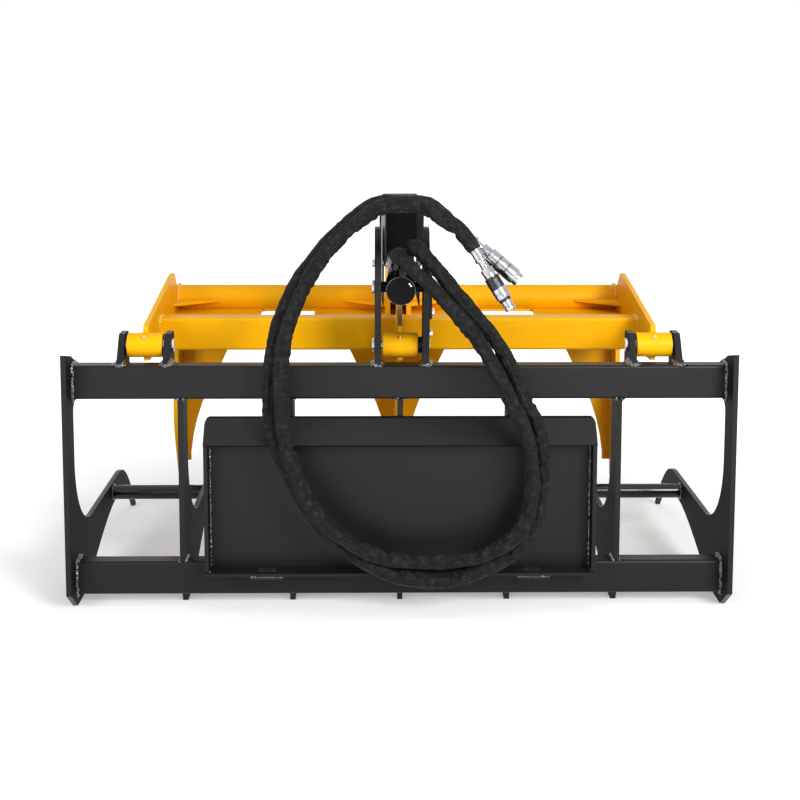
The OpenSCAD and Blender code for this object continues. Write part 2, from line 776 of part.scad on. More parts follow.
// Cylinder, along its own axis from the base pin

module on_cylinder() {
    centred() translate([0, base_y, base_z]) rotate([cylinder_tilt - 90, 0, 0]) children();
}

module base_cross(d) {
    rotate([0, 90, 0]) cylinder(d = d, h = 2 * cap_od, center = true);
}

cap_front = 55;
cap_back = 52;
port_back = -20;
port_h = cap_od / 2 + 9;
gland_len = 22;
piston_len = 38;
piston_s = 178;

module cylinder_barrel_tube() {
    color(black) on_cylinder() translate([0, 0, cap_front]) difference() {
        cylinder(d = barrel_od, h = barrel_end - cap_front);
        translate([0, 0, -1]) cylinder(d = bore_d, h = barrel_end - cap_front + 2);
    }
}

// Solid cap with the cross bore and two port bosses that meet the hose elbows.
module cylinder_base_cap() {
    color(black) on_cylinder() difference() {
        union() {
            translate([0, 0, -cap_back]) cylinder(d = cap_od, h = cap_front + cap_back);
            for (route = [route_a, route_b]) translate([elbow_bend(route)[0], 0, port_back])
                rotate([90, 0, 0]) cylinder(d = 20, h = port_h);
        }
        base_cross(pin_d + 2 * run_fit);
    }
}

module cylinder_gland() {
    color(steel) on_cylinder() difference() {
        union() {
            translate([0, 0, barrel_end]) cylinder(d = barrel_od, h = gland_len);
            translate([0, 0, barrel_end - 36]) cylinder(d = bore_d - 2 * run_fit, h = 37);
        }
        translate([0, 0, barrel_end - 50]) cylinder(d = rod_d + 2 * run_fit, h = 100);
    }
}

// Upright plate round the barrel that closes the space under the guard and keeps dirt off the seal.
module rod_shield() {
    r = 12;
    ring_r = barrel_od / 2 + 9;
    color(black) on_cylinder() translate([0, 0, shield_s]) linear_extrude(guard_t) difference() {
        union() {
            circle(ring_r);
            translate([-shield_w / 2, -shield_h + r]) square([shield_w, shield_h - 20 - r]);
            translate([-shield_w / 2 + r, -shield_h]) square([shield_w - 2 * r, r + 1]);
            for (s = [-1, 1]) translate([s * (shield_w / 2 - r), -shield_h + r]) circle(r);
        }
        circle(barrel_od / 2 + weld_gap);
    }
}

module cylinder_rod_bar() {
    color(steel) on_cylinder() translate([0, 0, piston_s])
        cylinder(d = rod_d, h = cylinder_len - eye_od / 2 - piston_s + 6);
}

module cylinder_piston() {
    color(steel) on_cylinder() translate([0, 0, piston_s]) difference() {
        cylinder(d = bore_d - 2 * run_fit, h = piston_len);
        translate([0, 0, -1]) cylinder(d = rod_d + 0.02, h = piston_len + 2);
    }
}

module rod_eye() {
    color(black) on_cylinder() translate([0, 0, cylinder_len]) difference() {
        rotate([0, 90, 0]) cylinder(d = eye_od, h = eye_w, center = true);
        rotate([0, 90, 0]) cylinder(d = rod_pin_d + 2 * rod_play, h = eye_w + 2, center = true);
        translate([0, 0, -eye_od]) cylinder(d = rod_d + 0.02, h = eye_od / 2 + 6);
    }
}

tine(1);  // tine_1
tine(2);  // tine_2
tine(3);  // tine_3
tine(4);  // tine_4
tine(5);  // tine_5
tine(6);  // tine_6
tine(7);  // tine_7
frame_tube(top_z);  // top_tube
frame_tube(bottom_z);  // bottom_tube
front_crossbar();
coupler_plate();
coupler_cheek(-1);  // coupler_cheek_left
coupler_cheek(1);  // coupler_cheek_right
lock_pin_tabs();
ear(-arm_x - ear_in - ear_t / 2);  // ear_left_outer
ear(-arm_x + ear_in + ear_t / 2);  // ear_left_inner
ear(arm_x - ear_in - ear_t / 2);  // ear_right_inner
ear(arm_x + ear_in + ear_t / 2);  // ear_right_outer
mast(-1);  // mast_left
mast(1);  // mast_right
mast_doubler();
mast_bolts();
cylinder_guard();
guard_bolts();
hinge_pin_side(-1);  // hinge_pin_left
mast_pin(hinge_y, hinge_z, 4);  // hinge_pin_centre
hinge_pin_side(1);  // hinge_pin_right
mast_pin(base_y, base_z, 10);  // base_pin
hose_elbow(route_a);  // hose_elbow_a
hose_elbow(route_b);  // hose_elbow_b
hose(route_a);  // hose_a
hose(route_b);  // hose_b
quick_coupler(route_a, coupler_small_d, plug_len, true);  // quick_coupler_a
quick_coupler(route_b, coupler_big_d, socket_len, false);  // quick_coupler_b
jaw_arm_side(-1);  // jaw_arm_left
jaw_arm_centre();
jaw_arm_side(1);  // jaw_arm_right
hinge_tube(-arm_x);  // hinge_tube_left
hinge_tube(0);  // hinge_tube_centre
hinge_tube(arm_x);  // hinge_tube_right
hinge_bushes();
hinge_collar();
jaw_rear_tube();
jaw_front_pipe();
deck(-1);  // deck_left
deck(1);  // deck_right
corner_gussets();
face_plate_side(-1);  // face_plate_left
face_plate_centre();
face_plate_side(1);  // face_plate_right
rod_lug(-1);  // rod_lug_left
rod_lug(1);  // rod_lug_right
rod_pin();
cylinder_barrel_tube();
cylinder_base_cap();
cylinder_gland();
rod_shield();
cylinder_rod_bar();
cylinder_piston();
rod_eye();
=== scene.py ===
import json
import math
from collections import namedtuple

import bpy
from mathutils import Matrix, Vector, noise


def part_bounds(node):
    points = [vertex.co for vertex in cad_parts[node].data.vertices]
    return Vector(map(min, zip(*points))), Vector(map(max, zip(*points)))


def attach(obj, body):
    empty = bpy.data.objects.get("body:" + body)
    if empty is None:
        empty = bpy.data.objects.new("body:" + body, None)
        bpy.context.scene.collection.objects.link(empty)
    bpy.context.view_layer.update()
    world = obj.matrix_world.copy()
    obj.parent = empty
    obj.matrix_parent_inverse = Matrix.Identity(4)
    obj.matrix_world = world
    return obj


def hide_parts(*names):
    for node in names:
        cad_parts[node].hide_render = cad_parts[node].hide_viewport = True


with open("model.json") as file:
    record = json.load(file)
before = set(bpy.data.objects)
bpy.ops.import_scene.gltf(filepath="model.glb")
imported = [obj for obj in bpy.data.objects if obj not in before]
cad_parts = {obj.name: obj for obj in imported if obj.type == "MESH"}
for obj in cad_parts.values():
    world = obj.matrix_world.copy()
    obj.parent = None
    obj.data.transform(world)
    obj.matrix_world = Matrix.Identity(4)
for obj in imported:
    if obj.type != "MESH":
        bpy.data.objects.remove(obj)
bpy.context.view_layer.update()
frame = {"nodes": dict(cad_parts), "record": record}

MM = 0.001
# The part's own Y runs from the rear edge of the end plates; the row frame's origin is half way to the tips.
HALF_TINE = 550 * MM
UP = Vector((0, 0, 1))


def at(x, y, z):
    """A point given in the part's millimetres, as a point of the row frame in metres."""
    return Vector((x * MM, y * MM - HALF_TINE, z * MM))


Box = namedtuple("Box", "x0 y0 z0 x1 y1 z1")


def part_box(name):
    """A node's box in the part's millimetres."""
    low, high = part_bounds(name)
    return Box(low[0] / MM, (low[1] + HALF_TINE) / MM, low[2] / MM,
               high[0] / MM, (high[1] + HALF_TINE) / MM, high[2] / MM)


# Camera: behind the part, a little to its left, looking slightly down

PHOTO_SIDE = 800
FOCAL_PIXELS = 1406.15
YAW, PITCH, ROLL = 0.01446, 0.11573, -0.00169
cam_data = bpy.data.cameras.new("camera")
cam_data.sensor_width = 36
cam_data.lens = FOCAL_PIXELS / PHOTO_SIDE * cam_data.sensor_width
cam_data.shift_y = -0.2
camera = bpy.data.objects.new("camera", cam_data)
camera.location = at(-61.0, -4011.8, 1585.7)
camera.rotation_mode = "QUATERNION"
camera.rotation_quaternion = (
    Matrix.Rotation(-YAW, 3, "Z")
    @ Matrix.Rotation(math.pi / 2 - PITCH, 3, "X")
    @ Matrix.Rotation(-ROLL, 3, "Z")
).to_quaternion()
bpy.context.scene.collection.objects.link(camera)
bpy.context.scene.camera = camera
bpy.context.scene.view_settings.view_transform = "Standard"


# Shader helpers

def new_material(name):
    mat = bpy.data.materials.new(name)
    mat.use_nodes = True
    tree = mat.node_tree
    return mat, tree, tree.nodes["Principled BSDF"]


def node(tree, kind, inputs=(), **props):
    made = tree.nodes.new(kind)
    for key, value in props.items():
        setattr(made, key, value)
    for key, value in dict(inputs).items():
        made.inputs[key].default_value = value
    return made


def object_noise(tree, scale, detail=4, rough=0.55, stretch=(1, 1, 1)):
    """Noise in the object's own metres; returns its factor socket."""
    coord = node(tree, "ShaderNodeTexCoord")
    mapping = node(tree, "ShaderNodeMapping", {"Scale": stretch})
    tree.links.new(coord.outputs["Object"], mapping.inputs["Vector"])
    tex = node(tree, "ShaderNodeTexNoise", {"Scale": scale, "Detail": detail, "Roughness": rough})
    tree.links.new(mapping.outputs["Vector"], tex.inputs["Vector"])
    return tex.outputs["Fac"]


def ramp(tree, fac, stops):
    """Colour ramp through (place, colour) stops."""
    made = node(tree, "ShaderNodeValToRGB")
    elements = made.color_ramp.elements
    while len(elements) > 1:
        elements.remove(elements[-1])
    elements[0].position, elements[0].color = stops[0][0], (*stops[0][1], 1)
    for place, colour in stops[1:]:
        elements.new(place).color = (*colour, 1)
    tree.links.new(fac, made.inputs["Fac"])
    return made.outputs["Color"]


def spread(tree, fac, low, high, start=0.3, end=0.7):
    """Maps a factor between start and end to a range of values."""
    made = node(tree, "ShaderNodeMapRange",
                {"From Min": start, "From Max": end, "To Min": low, "To Max": high})
    tree.links.new(fac, made.inputs["Value"])
    return made.outputs["Result"]


def larger(tree, first, second):
    """The larger one of two values."""
    made = node(tree, "ShaderNodeMath", operation="MAXIMUM")
    tree.links.new(first, made.inputs[0])
    tree.links.new(second, made.inputs[1])
    return made.outputs["Value"]


def bump(tree, shader, height, strength, distance, under=None):
    made = node(tree, "ShaderNodeBump", {"Strength": strength, "Distance": distance})
    tree.links.new(height, made.inputs["Height"])
    if under is not None:
        tree.links.new(under, made.inputs["Normal"])
    tree.links.new(made.outputs["Normal"], shader.inputs["Normal"])
    return made.outputs["Normal"]


def scaled(colour, k):
    return tuple(min(1.0, c * k) for c in colour)


def clouded(tree, fac, colour, darker, lighter):
    """A colour that drifts with a noise factor, by a share darker and a share lighter."""
    return ramp(tree, fac, [(0.3, scaled(colour, 1 - darker)), (0.7, scaled(colour, 1 + lighter))])


# Materials

def paint(name, colour, rough, variation, dust, shine):
    """Sprayed paint: slight clouding, orange peel and a breath of dust in patches."""
    mat, tree, shader = new_material(name)
    shader.inputs["Specular IOR Level"].default_value = shine
    tone = clouded(tree, object_noise(tree, 5, 5), colour, variation, variation)
    mix = node(tree, "ShaderNodeMix", data_type="RGBA")
    dusty = spread(tree, object_noise(tree, 160, 8, 0.75), 0, 0.06, 0.58, 0.80)
    tree.links.new(dusty, mix.inputs["Factor"])
    tree.links.new(tone, mix.inputs["A"])
    mix.inputs["B"].default_value = (*dust, 1)
    tree.links.new(mix.outputs["Result"], shader.inputs["Base Color"])
    tree.links.new(spread(tree, object_noise(tree, 28, 6), rough - 0.02, rough + 0.02),
                   shader.inputs["Roughness"])
    peel = bump(tree, shader, object_noise(tree, 420, 3), 0.08, 0.5 * MM)
    bump(tree, shader, object_noise(tree, 6, 1), 0.03, 3 * MM, peel)
    return mat


def metal(name, colour, rough, brush, variation=0.12):
    """Bare or plated metal with fine lathe or brush marks along one axis."""
    mat, tree, shader = new_material(name)
    shader.inputs["Metallic"].default_value = 1
    tree.links.new(clouded(tree, object_noise(tree, 60, 5), colour, variation, variation / 2),
                   shader.inputs["Base Color"])
    tree.links.new(spread(tree, object_noise(tree, 90, 6), rough - 0.06, rough + 0.12),
                   shader.inputs["Roughness"])
    bump(tree, shader, object_noise(tree, 300, 4, 0.6, brush), 0.12, 0.4 * MM)
    return mat


def weld_paint(name, colour, shine):
    """Glossy paint over weld metal: small sharp ripples and spatter that catch the light."""
    mat, tree, shader = new_material(name)
    shader.inputs["Specular IOR Level"].default_value = shine
    tree.links.new(clouded(tree, object_noise(tree, 90, 4), colour, 0.2, 0.2), shader.inputs["Base Color"])
    tree.links.new(spread(tree, object_noise(tree, 200, 5), 0.05, 0.13), shader.inputs["Roughness"])
    shader.inputs["Coat Weight"].default_value = 1
    shader.inputs["Coat Roughness"].default_value = 0.05
    lumps = bump(tree, shader, object_noise(tree, 120, 2, 0.4), 1.0, 7.5 * MM)
    tree.links.new(lumps, shader.inputs["Coat Normal"])
    return mat


def pin_steel():
    """The cylinder's base pin: bare at its ends, and painted black between the masts as their shade."""
    mast_mid = 4.75 * MM
    shade_end, bare = 62 * MM, 68 * MM
    mat, tree, shader = new_material("base_pin")
    shader.inputs["Metallic"].default_value = 1
    shader.inputs["Roughness"].default_value = 0.32
    coord = node(tree, "ShaderNodeTexCoord")
    split = node(tree, "ShaderNodeSeparateXYZ")
    tree.links.new(coord.outputs["Object"], split.inputs["Vector"])
    centred = node(tree, "ShaderNodeMath", {1: mast_mid}, operation="SUBTRACT")
    tree.links.new(split.outputs["X"], centred.inputs[0])
    out = node(tree, "ShaderNodeMath", operation="ABSOLUTE")
    tree.links.new(centred.outputs["Value"], out.inputs[0])
    # Painted shade: near-black between the masts, fading to bare steel towards the ends.
    worn = spread(tree, out.outputs["Value"], 0, 1, shade_end, bare)
    tree.links.new(ramp(tree, worn, [(0.2, (0.006, 0.006, 0.006)), (0.8, (0.62, 0.63, 0.65))]),
                   shader.inputs["Base Color"])
    bump(tree, shader, object_noise(tree, 300, 4, 0.6), 0.15, 0.4 * MM)
    return mat


def sleeve_material():
    """Black woven nylon sleeve: threads from the tube's own UV, worn lighter in patches."""
    thread_angle = math.radians(38)
    mat, tree, shader = new_material("textile_sleeve")
    shader.inputs["Sheen Weight"].default_value = 0.03
    shader.inputs["Sheen Roughness"].default_value = 0.45
    shader.inputs["Specular IOR Level"].default_value = 0.15
    uv = node(tree, "ShaderNodeUVMap", uv_map="UVMap")
    threads = []
    for turn in (thread_angle, -thread_angle):
        mapping = node(tree, "ShaderNodeMapping", {"Rotation": (0, 0, turn)})
        tree.links.new(uv.outputs["UV"], mapping.inputs["Vector"])
        wave = node(tree, "ShaderNodeTexWave", {"Scale": 95, "Distortion": 0.6, "Detail": 1})
        tree.links.new(mapping.outputs["Vector"], wave.inputs["Vector"])
        threads.append(wave.outputs["Fac"])
    tone = ramp(tree, object_noise(tree, 58, 6, 0.65),
                [(0.36, (0.0020, 0.0020, 0.0022)), (0.52, (0.0065, 0.0065, 0.0069)),
                 (0.68, (0.022, 0.022, 0.023))])
    tree.links.new(tone, shader.inputs["Base Color"])
    tree.links.new(spread(tree, object_noise(tree, 60, 5), 0.50, 0.78), shader.inputs["Roughness"])
    weave = bump(tree, shader, larger(tree, *threads), 0.6, 0.7 * MM)
    bump(tree, shader, object_noise(tree, 150, 5, 0.7), 0.9, 3 * MM, weave)
    return mat


BLACK = paint("black_paint", (0.0088, 0.0088, 0.0093), rough=0.38, variation=0.05,
              dust=(0.03, 0.03, 0.03), shine=0.20)
PLATE_BLACK = paint("plate_black", (0.0070, 0.0070, 0.0074), rough=0.62, variation=0.05,
                    dust=(0.02, 0.02, 0.02), shine=0.09)
GLOSS_BLACK = paint("gloss_black", (0.0060, 0.0060, 0.0065), rough=0.15, variation=0.10,
                    dust=(0.03, 0.03, 0.03), shine=0.42)
# The cylinder's own black, partly painted shade: darker than the frame's paint for the shade under the guard.
CYLINDER_BLACK_AND_SHADE = paint("cylinder_black_and_shade", (0.0030, 0.0030, 0.0034), rough=0.26, variation=0.10,
                   dust=(0.02, 0.02, 0.02), shine=0.07)
# Painted shade: a flat near-black for the guard's inside faces and the rod shield, which stand in the shade
# under the guard.
SHADE_BLACK = paint("painted_shade_black", (0.0040, 0.0040, 0.0043), rough=0.60, variation=0.10,
                   dust=(0.01, 0.01, 0.01), shine=0.05)
YELLOW = paint("yellow_paint", (0.88, 0.420, 0.001), rough=0.40, variation=0.03,
               dust=(0.84, 0.41, 0.003), shine=0.12)
WELD_BLACK = weld_paint("weld_black", (0.0060, 0.0060, 0.0065), shine=0.90)
WELD_YELLOW = weld_paint("weld_yellow", (0.85, 0.42, 0.002), shine=0.40)
ZINC = metal("zinc_steel", (0.70, 0.71, 0.73), rough=0.26, brush=(1, 1, 9))
CHROME = metal("ground_steel", (0.80, 0.80, 0.82), rough=0.14, brush=(1, 12, 1), variation=0.05)
BRONZE = metal("bronze", (0.62, 0.40, 0.17), rough=0.34, brush=(9, 1, 1))
# Dark steel for the couplers' knurled ring and shoulder rings, and painted shade in their grooves and mouths.
DARK_STEEL_AND_SHADE = metal("dark_steel_and_shade", (0.045, 0.045, 0.05), rough=0.30, brush=(1, 1, 6))
COUPLER_STEEL = metal("coupler_steel", (0.44, 0.45, 0.47), rough=0.15, brush=(1, 1, 1))
PIN_STEEL = pin_steel()
SLEEVE = sleeve_material()


# CAD nodes: their own finish, and small rounded edges

SLOT_OF = {row["node"]: row["material_slot"] for row in frame["record"]["subparts"]}
BY_SLOT = {"black_paint": BLACK, "yellow_paint": YELLOW, "zinc_steel": ZINC,
           "ground_steel": CHROME, "bronze": BRONZE, "textile_sleeve": SLEEVE}
# The rod shield is a dark sheet of painted shade that fills the space behind the guard.
OWN_PAINT = {"cylinder_barrel_tube": CYLINDER_BLACK_AND_SHADE, "cylinder_base_cap": CYLINDER_BLACK_AND_SHADE, "rod_eye": CYLINDER_BLACK_AND_SHADE,
             "rod_shield": SHADE_BLACK, "front_crossbar": GLOSS_BLACK, "base_pin": PIN_STEEL,
             "lock_pin_tabs": GLOSS_BLACK}
# The flame-cut plates, which all face left and right, are duller than the tubes.
FLAT_PLATES = ("tine_", "ear_", "mast_left", "mast_right", "coupler_cheek")
# Radius of the rounded edges, in millimetres; rolled tube has rounder corners.
EDGE = 1.3
TUBE_CORNER = {"top_tube": 4.5, "bottom_tube": 4.5, "jaw_rear_tube": 4.5}


def finish_of(name):
    if name.startswith(FLAT_PLATES):
        return PLATE_BLACK
    return OWN_PAINT.get(name, BY_SLOT[SLOT_OF[name]])


def round_edges(obj, radius, segments):
    """Joins the facets of flat faces, then rounds every sharp edge between them."""
    join = obj.modifiers.new("join", "WELD")
    join.merge_threshold = 0.01 * MM
    flats = obj.modifiers.new("flats", "DECIMATE")
    flats.decimate_type = "DISSOLVE"
    flats.angle_limit = math.radians(0.5)
    edges = obj.modifiers.new("edges", "BEVEL")
    edges.width = radius * MM
    edges.segments = segments
    edges.limit_method = "ANGLE"
    edges.angle_limit = math.radians(40)
    edges.use_clamp_overlap = True
    shade = obj.modifiers.new("shade", "WEIGHTED_NORMAL")
    shade.keep_sharp = True


def second_paint(obj, mat, chosen):
    """Gives another paint to the faces that chosen() picks."""
    obj.data.materials.append(mat)
    for poly in obj.data.polygons:
        poly.material_index = int(chosen(poly))


def cut_edge(poly):
    """A face of a flat plate that doesn't face left or right."""
    return abs(poly.normal.x) < 0.5


def dress(name, obj):
    mesh = obj.data
    mesh.materials.clear()
    mesh.materials.append(finish_of(name))
    if "custom_normal" in mesh.attributes:
        mesh.attributes.remove(mesh.attributes["custom_normal"])
    for poly in mesh.polygons:
        poly.use_smooth = True
    round_edges(obj, TUBE_CORNER.get(name, EDGE), 4 if name in TUBE_CORNER else 2)


for name, obj in frame["nodes"].items():
    dress(name, obj)
    if finish_of(name) is PLATE_BLACK:
        # The cut edges shine more than the flat sides.
        second_paint(obj, BLACK, cut_edge)

guard = frame["nodes"]["cylinder_guard"]
guard_low, guard_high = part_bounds("cylinder_guard")
guard_mid = (guard_low + guard_high) / 2


def faces_inward(poly):
    """A face of the guard that looks at the line along the guard's middle."""
    from_mid = guard.matrix_world @ poly.center - guard_mid
    from_mid.y = 0
    return abs(poly.normal.y) < 0.5 and from_mid.dot(poly.normal) < 0


# The guard's inside faces get painted shade: a near-black for the dark inside the guard.
second_paint(guard, SHADE_BLACK, faces_inward)


# Mesh helpers

class Shell:
    """Collects vertices and faces of several closed shells for one object."""

    def __init__(self):
        self.verts = []
        self.faces = []

    def rings(self, rings, closed=False):
        """Skins a list of rings, with flat caps, or closed into a loop."""
        base, n = len(self.verts), len(rings[0])
        for one in rings:
            self.verts.extend(one)
        count = len(rings)
        for i in range(count if closed else count - 1):
            for k in range(n):
                a, b = base + i * n, base + (i + 1) % count * n
                self.faces.append((a + k, a + (k + 1) % n, b + (k + 1) % n, b + k))
        if not closed:
            self.faces.append(tuple(base + k for k in reversed(range(n))))
            self.faces.append(tuple(base + (count - 1) * n + k for k in range(n)))


def add_object(name, shell, mat, body, sharp=None):
    """Makes a mesh object that rides on a body. sharp is the angle in degrees past which edges stay sharp."""
    mesh = bpy.data.meshes.new(name)
    mesh.from_pydata([tuple(v) for v in shell.verts], [], shell.faces)
    mesh.validate()
    mesh.materials.append(mat)
    for poly in mesh.polygons:
        poly.use_smooth = True
    if sharp is not None:
        mesh.set_sharp_from_angle(angle=math.radians(sharp))
    obj = bpy.data.objects.new(name, mesh)
    bpy.context.scene.collection.objects.link(obj)
    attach(obj, body)
    return obj


def turns(count):
    """Even angles round a full turn."""
    return [2 * math.pi * k / count for k in range(count)]


def ring(centre, u, v, radius, sides):
    """Points of a circle in the plane of u and v."""
    return [centre + (u * math.cos(a) + v * math.sin(a)) * radius for a in turns(sides)]


def carried_frames(points):
    """Tangent and two normals at each point, carried along without twist."""
    frames = []
    side = None
    for i in range(len(points)):
        tangent = (points[min(i + 1, len(points) - 1)] - points[max(i - 1, 0)]).normalized()
        if side is None:
            side = tangent.cross(UP)
            if side.length < 1e-3:
                side = tangent.cross(Vector((0, 1, 0)))
        side = (side - tangent * side.dot(tangent)).normalized()
        frames.append((tangent, side, tangent.cross(side)))
    return frames


def turned(shell, origin, axis, profile, sides=64, wobble=None):
    """A turned piece. profile is a list of (distance along the axis, radius) in millimetres, and wobble
    gives the share of the radius at a distance in millimetres and an angle."""
    axis = axis.normalized()
    u = axis.cross(UP)
    u = (u if u.length > 1e-3 else axis.cross(Vector((1, 0, 0)))).normalized()
    v = axis.cross(u)
    rings = []
    for along, radius in profile:
        points = []
        for a in turns(sides):
            r = radius * (wobble(along, a) if wobble else 1) * MM
            points.append(origin + axis * (along * MM) + (u * math.cos(a) + v * math.sin(a)) * r)
        rings.append(points)
    shell.rings(rings)


# Hoses in their textile sleeves: the same routes as in the part's source

ROUTE_A = [(-10, 15, 1075), (0, -25, 1073), (30, -60, 1045), (85, -75, 995), (145, -80, 930),
           (215, -80, 845), (275, -75, 745), (315, -70, 660), (345, -70, 605), (370, -65, 530),
           (380, -65, 430), (375, -60, 355), (350, -60, 280), (298, -54, 228), (225, -44, 192),
           (115, -35, 175), (-5, -40, 180), (-90, -59, 209), (-161, -70, 254), (-222, -70, 303),
           (-270, -70, 369), (-301, -70, 443), (-328, -70, 522), (-340, -70, 610), (-344, -65, 695),
           (-340, -60, 795), (-316, -60, 900), (-273, -50, 995), (-216, -40, 1085), (-146, -32, 1158),
           (-65, -28, 1213), (5, -28, 1228), (70, -32, 1217), (120, -42, 1185), (160, -52, 1160),
           (187, -60, 1130), (206, -65, 1100)]
ROUTE_B = [(35, 15, 1098), (46, -22, 1098), (72, -45, 1075), (115, -50, 1025), (170, -55, 955),
           (245, -55, 870), (310, -50, 770), (360, -45, 655), (395, -40, 590), (410, -35, 505),
           (413, -30, 430), (404, -30, 350), (385, -30, 275), (340, -30, 210), (275, -30, 165),
           (185, -30, 125), (100, -30, 115), (10, -30, 125), (-70, -30, 155), (-150, -30, 205),
           (-214, -30, 262), (-270, -30, 337), (-316, -30, 417), (-353, -30, 505), (-375, -30, 595),
           (-378, -25, 685), (-368, -20, 800), (-345, -10, 900), (-300, -5, 995), (-240, 0, 1080),
           (-160, 8, 1160), (-75, 16, 1221), (5, 18, 1226), (80, 14, 1220), (137, 3, 1177),
           (183, -7, 1138)]
SLEEVE_RADIUS = 21 * MM
SLEEVE_SIDES = 56
HOSE_STEP = 4 * MM
# The bare hose runs on out of its sleeve and into the crimped ferrule.
BARE_RADIUS = 11.2 * MM
BARE_STEPS = 15
# Relief of the sleeve, as shares of its radius
BULGE, SQUASH, LUMP, FINE = 0.09, 0.07, 0.06, 0.03
CREASE, CREASE_DROP = 0.13, 0.075
WRINKLE, BEND_WRINKLE = 0.07, 0.48
NARROWEST, WIDEST = 0.74, 1.18
# Length over which the relief fades out at both ends
END_FADE = 30 * MM
# How many points away the bend is measured, and how far off its chord a full bend lies
BEND_REACH = 12
FULL_BEND = 10 * MM


def smooth_line(points, step):
    """A smooth curve through the points, sampled at even steps, and its length."""
    ends = [2 * points[0] - points[1], *points, 2 * points[-1] - points[-2]]
    samples = 24
    fine = []
    for i in range(1, len(ends) - 2):
        p0, p1, p2, p3 = ends[i - 1:i + 3]
        for k in range(samples):
            t = k / samples
            fine.append(0.5 * (2 * p1 + (p2 - p0) * t + (2 * p0 - 5 * p1 + 4 * p2 - p3) * t * t
                               + (3 * p1 - p0 - 3 * p2 + p3) * t ** 3))
    fine.append(points[-1])
    total = sum((b - a).length for a, b in zip(fine, fine[1:]))
    count = round(total / step)
    out, gone, want = [fine[0]], 0.0, total / count
    for a, b in zip(fine, fine[1:]):
        size = (b - a).length
        while gone + size >= want * len(out) - 1e-9 and len(out) <= count:
            out.append(a.lerp(b, min(1.0, (want * len(out) - gone) / size)))
        gone += size
    out[-1] = points[-1]
    return out, total


def ridged(x, y, z):
    """Sharp crested folds from smooth noise: 1 on the crests, and lower away from them."""
    return 1 - abs(noise.noise(Vector((x, y, z)))) * 2.2


def sleeve_width(s, a, seed, folded, end_fade):
    """The sleeve's width at s metres along it and angle a round it, as a share of its plain radius.
    The noise is read round a circle, at x and y, and along the hose, at s: larger factors make it finer."""
    x, y = math.cos(a), math.sin(a)
    bulge = noise.noise(Vector((s * 9, seed, 0))) * BULGE
    squash_angle = seed + 2.2 * noise.noise(Vector((s * 3.5, seed + 7, 0))) * math.pi
    crease = ridged(x * 2.1, y * 2.1, s * 4.5 + seed * 3)
    cross = ridged(x * 0.9 + seed, y * 0.9, s * 40)
    lump = noise.noise(Vector((x * 1.2, y * 1.2, s * 22 + seed)))
    fine = noise.noise(Vector((x * 3.4, y * 3.4, s * 75 + seed)))
    width = 1 + bulge + SQUASH * math.cos(2 * (a - squash_angle))
    width += end_fade * (CREASE * crease - CREASE_DROP + LUMP * lump + FINE * fine)
    width += end_fade * (WRINKLE + BEND_WRINKLE * folded) * (cross - 0.5)
    return min(WIDEST, max(NARROWEST, width))


def bend_at(line, i, last, tangent):
    """How tightly the line bends at a point, up to 1, times the direction to the inside of the bend."""
    before, after = line[max(0, i - BEND_REACH)], line[min(last, i + BEND_REACH)]
    inward = before + after - 2 * line[i]
    inward -= tangent * inward.dot(tangent)
    if inward.length > FULL_BEND:
        return inward.normalized()
    return inward / FULL_BEND


def unroll(obj, rings):
    """Lays the tube's faces out flat in its UV map, in metres. The two end caps come last and stay at 0."""
    facet = 2 * math.pi * SLEEVE_RADIUS / SLEEVE_SIDES
    layer = obj.data.uv_layers.new(name="UVMap").data
    loop = 0
    for i in range(rings - 1):
        for k in range(SLEEVE_SIDES):
            for along, around in ((i, k), (i, k + 1), (i + 1, k + 1), (i + 1, k)):
                layer[loop].uv = along * HOSE_STEP, around * facet
                loop += 1


def sleeved_hose(name, route, seed):
    """A loose woven sleeve: long creases, cross wrinkles inside the bends, and uneven width."""
    line, length = smooth_line([at(*p) for p in route], HOSE_STEP)
    along = (line[-1] - line[-2]).normalized()
    sleeve_end = len(line) - 1
    line += [line[-1] + along * (i * HOSE_STEP) for i in range(1, BARE_STEPS + 1)]
    rings = []
    for i, (p, (tangent, u, v)) in enumerate(zip(line, carried_frames(line))):
        if i > sleeve_end:
            rings.append(ring(p, u, v, BARE_RADIUS, SLEEVE_SIDES))
            continue
        s = i / sleeve_end * length
        end_fade = min(1.0, s / END_FADE, (length - s) / END_FADE)
        bend = bend_at(line, i, sleeve_end, tangent)
        points = []
        for a in turns(SLEEVE_SIDES):
            out = u * math.cos(a) + v * math.sin(a)
            folded = max(0.0, out.dot(bend))
            points.append(p + out * SLEEVE_RADIUS * sleeve_width(s, a, seed, folded, end_fade))
        rings.append(points)
    shell = Shell()
    shell.rings(rings)
    obj = add_object(name, shell, SLEEVE, "frame")
    unroll(obj, len(rings))
    return obj, line


# Quick couplers, ferrules and elbows, turned round the hose's own line

def hexagon(shell, origin, axis, start, end, across):
    """A hexagon nut with its corners rounded off at both ends, in millimetres."""
    flat = across / 2
    corner = flat / math.cos(math.pi / 6)

    def six_flats(along, a):
        to_flat = flat / math.cos((a + math.pi / 6) % (math.pi / 3) - math.pi / 6)
        inset = min(along - start, end - along)
        return min(to_flat, flat + 0.35 * (corner - flat) + inset * 1.2) / corner

    steps = [start, start + 0.8, start + 2, end - 2, end - 0.8, end]
    turned(shell, origin, axis, [(s, corner) for s in steps], 48, six_flats)


